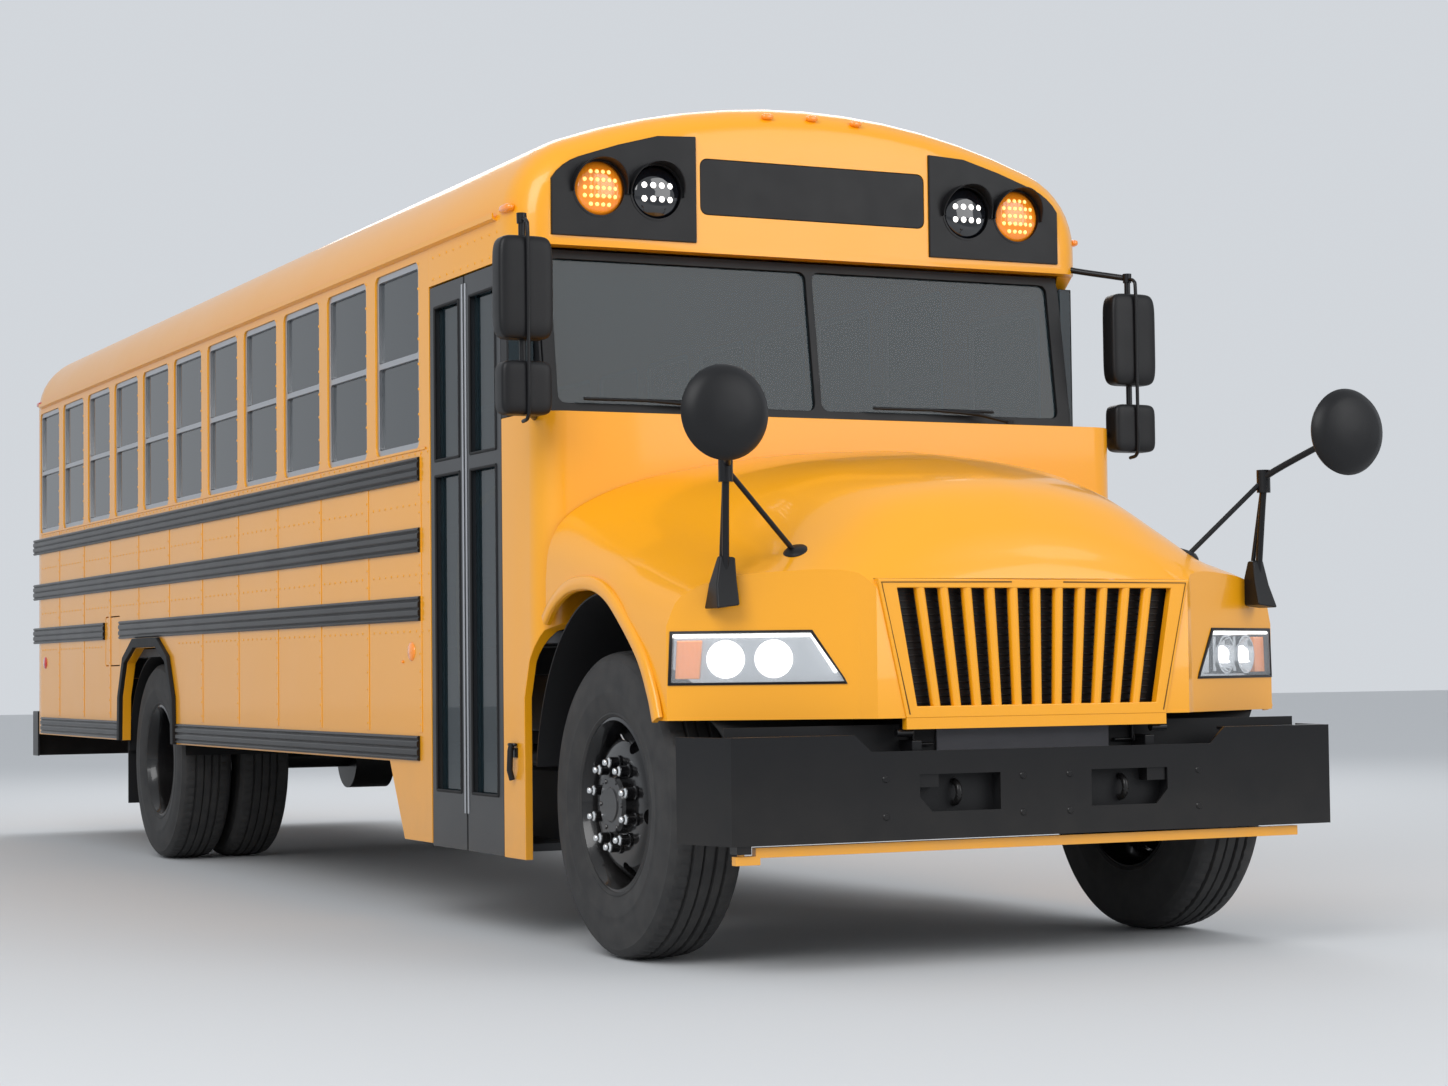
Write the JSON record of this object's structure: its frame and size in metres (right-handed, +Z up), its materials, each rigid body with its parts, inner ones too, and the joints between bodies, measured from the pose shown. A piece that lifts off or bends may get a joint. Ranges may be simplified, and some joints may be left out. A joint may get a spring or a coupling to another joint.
{
  "type": "school bus",
  "caption": "Conventional yellow school bus with a tilting nose, twin-leaf entrance, black rub rails, warning lamps and crossover mirrors.",
  "frame": {"origin": "on the ground under the middle of the bounding box", "axes": "+X forward, +Y to the driver's side (left), +Z up"},
  "size_m": [10.2, 2.865, 3.18],
  "materials": {
    "yellow_paint": "gloss",
    "black_paint": "satin",
    "white_paint": "gloss",
    "red_paint": "gloss",
    "black_plastic": "matte",
    "trim_rubber": "matte",
    "tyre_rubber": "matte",
    "door_metal": "satin",
    "sash_aluminium": "satin",
    "window_tint": "gloss",
    "amber_lens": "gloss",
    "red_lens": "gloss",
    "lamp_clear": "gloss",
    "floor_vinyl": "matte",
    "seat_vinyl": "satin",
    "engine_iron": "satin",
    "tank_steel": "satin"
  },
  "bodies": {
    "chassis": {"frame_rails": "black_paint", "engine": "engine_iron", "radiator": "engine_iron", "front_axle": "black_paint", "rear_axle": "black_paint", "leaf_springs": "black_paint", "fuel_tank": "tank_steel", "exhaust": "tank_steel", "floor": "floor_vinyl", "left_wall": "yellow_paint", "right_wall": "yellow_paint", "roof": "yellow_paint", "rear_wall": "yellow_paint", "front_cap": "yellow_paint", "cowl": "yellow_paint", "windshield_frame": "black_plastic", "windshield": "window_tint", "window_sashes": "sash_aluminium", "window_glass": "window_tint", "rub_rails": "black_paint", "wheel_arch_trim": "trim_rubber", "lamp_panels": "black_plastic", "amber_lamps": "amber_lens", "red_lamps": "red_lens", "front_bumper": "black_paint", "rear_bumper": "black_paint", "side_mirrors": "black_plastic", "wipers": "black_plastic", "dashboard": "black_plastic", "driver_seat": "seat_vinyl", "passenger_seats": "seat_vinyl", "seat_legs": "black_paint", "entry_steps": "floor_vinyl"},
    "knuckle_l": {"knuckle_left": "black_paint"},
    "knuckle_r": {"knuckle_right": "black_paint"},
    "wheel_front_left": {"tyre_front_left": "tyre_rubber", "rim_front_left": "black_paint"},
    "wheel_front_right": {"tyre_front_right": "tyre_rubber", "rim_front_right": "black_paint"},
    "wheels_rear_left": {"tyres_rear_left": "tyre_rubber", "rims_rear_left": "black_paint"},
    "wheels_rear_right": {"tyres_rear_right": "tyre_rubber", "rims_rear_right": "black_paint"},
    "entrance_leaf_front": {"door_leaf_front": "door_metal", "door_glass_front": "window_tint"},
    "entrance_leaf_rear": {"door_leaf_rear": "door_metal", "door_glass_rear": "window_tint"},
    "emergency_door": {"rear_door": "yellow_paint", "rear_door_glass": "window_tint"},
    "nose": {"hood": "yellow_paint", "grille": "yellow_paint", "headlamps": "lamp_clear", "hood_hinges": "black_paint", "crossover_mirrors": "black_plastic"},
    "stop_sign_arm": {"stop_arm": "red_paint"},
    "crossing_gate": {"crossing_arm": "yellow_paint"},
    "fuel_flap": {"fuel_door": "yellow_paint"},
    "hatch_front": {"roof_hatch_front": "white_paint"},
    "hatch_rear": {"roof_hatch_rear": "white_paint"},
    "steering": {"steering_wheel": "black_plastic"}
  },
  "joints": [
    {"name": "steer_left", "type": "hinge", "parent": "chassis", "child": "knuckle_l", "pos_m": [4.07, 0.85, 0.522], "axis": [0, 0, 1], "range_deg": [-38, 38]},
    {"name": "steer_right", "type": "hinge", "parent": "chassis", "child": "knuckle_r", "pos_m": [4.07, -0.85, 0.522], "axis": [0, 0, 1], "range_deg": [-38, 38]},
    {"name": "wheel_front_left_spin", "type": "hinge", "parent": "knuckle_l", "child": "wheel_front_left", "pos_m": [4.07, 1.03, 0.522], "axis": [0, 1, 0], "continuous": true},
    {"name": "wheel_front_right_spin", "type": "hinge", "parent": "knuckle_r", "child": "wheel_front_right", "pos_m": [4.07, -1.03, 0.522], "axis": [0, 1, 0], "continuous": true},
    {"name": "wheels_rear_left_spin", "type": "hinge", "parent": "chassis", "child": "wheels_rear_left", "pos_m": [-2.08, 1.03, 0.522], "axis": [0, 1, 0], "continuous": true},
    {"name": "wheels_rear_right_spin", "type": "hinge", "parent": "chassis", "child": "wheels_rear_right", "pos_m": [-2.08, -1.03, 0.522], "axis": [0, 1, 0], "continuous": true},
    {"name": "entrance_front_hinge", "type": "hinge", "parent": "chassis", "child": "entrance_leaf_front", "pos_m": [3.204, -1.22, 1.39], "axis": [0, 0, 1], "range_deg": [0, 88]},
    {"name": "entrance_rear_hinge", "type": "hinge", "parent": "chassis", "child": "entrance_leaf_rear", "pos_m": [2.436, -1.22, 1.39], "axis": [0, 0, 1], "range_deg": [-88, 0]},
    {"name": "emergency_door_hinge", "type": "hinge", "parent": "chassis", "child": "emergency_door", "pos_m": [-4.954, -0.363, 1.8], "axis": [0, 0, 1], "range_deg": [0, 100]},
    {"name": "nose_tilt", "type": "hinge", "parent": "chassis", "child": "nose", "pos_m": [4.9, 0, 0.765], "axis": [0, 1, 0], "range_deg": [0, 55]},
    {"name": "stop_arm_swing", "type": "hinge", "parent": "chassis", "child": "stop_sign_arm", "pos_m": [2.11, 1.282, 1.642], "axis": [0, 0, 1], "range_deg": [-90, 0]},
    {"name": "crossing_gate_swing", "type": "hinge", "parent": "chassis", "child": "crossing_gate", "pos_m": [4.941, -1.1, 0.4], "axis": [0, 0, 1], "range_deg": [-90, 0]},
    {"name": "fuel_flap_hinge", "type": "hinge", "parent": "chassis", "child": "fuel_flap", "pos_m": [-2.699, -1.221, 1.17], "axis": [0, 0, 1], "range_deg": [0, 95]},
    {"name": "hatch_front_hinge", "type": "hinge", "parent": "chassis", "child": "hatch_front", "pos_m": [1.272, 0, 3.152], "axis": [0, 1, 0], "range_deg": [0, 70]},
    {"name": "hatch_rear_hinge", "type": "hinge", "parent": "chassis", "child": "hatch_rear", "pos_m": [-2.508, 0, 3.152], "axis": [0, 1, 0], "range_deg": [0, 70]},
    {"name": "steering_turn", "type": "hinge", "parent": "chassis", "child": "steering", "pos_m": [3.11, 0.62, 1.81], "axis": [-0.5736, 0, 0.8192], "range_deg": [-540, 540]}
  ],
  "couplings": [
    {"joint": "steer_right", "follows": "steer_left", "ratio": 1},
    {"joint": "entrance_rear_hinge", "follows": "entrance_front_hinge", "ratio": -1}
  ]
}
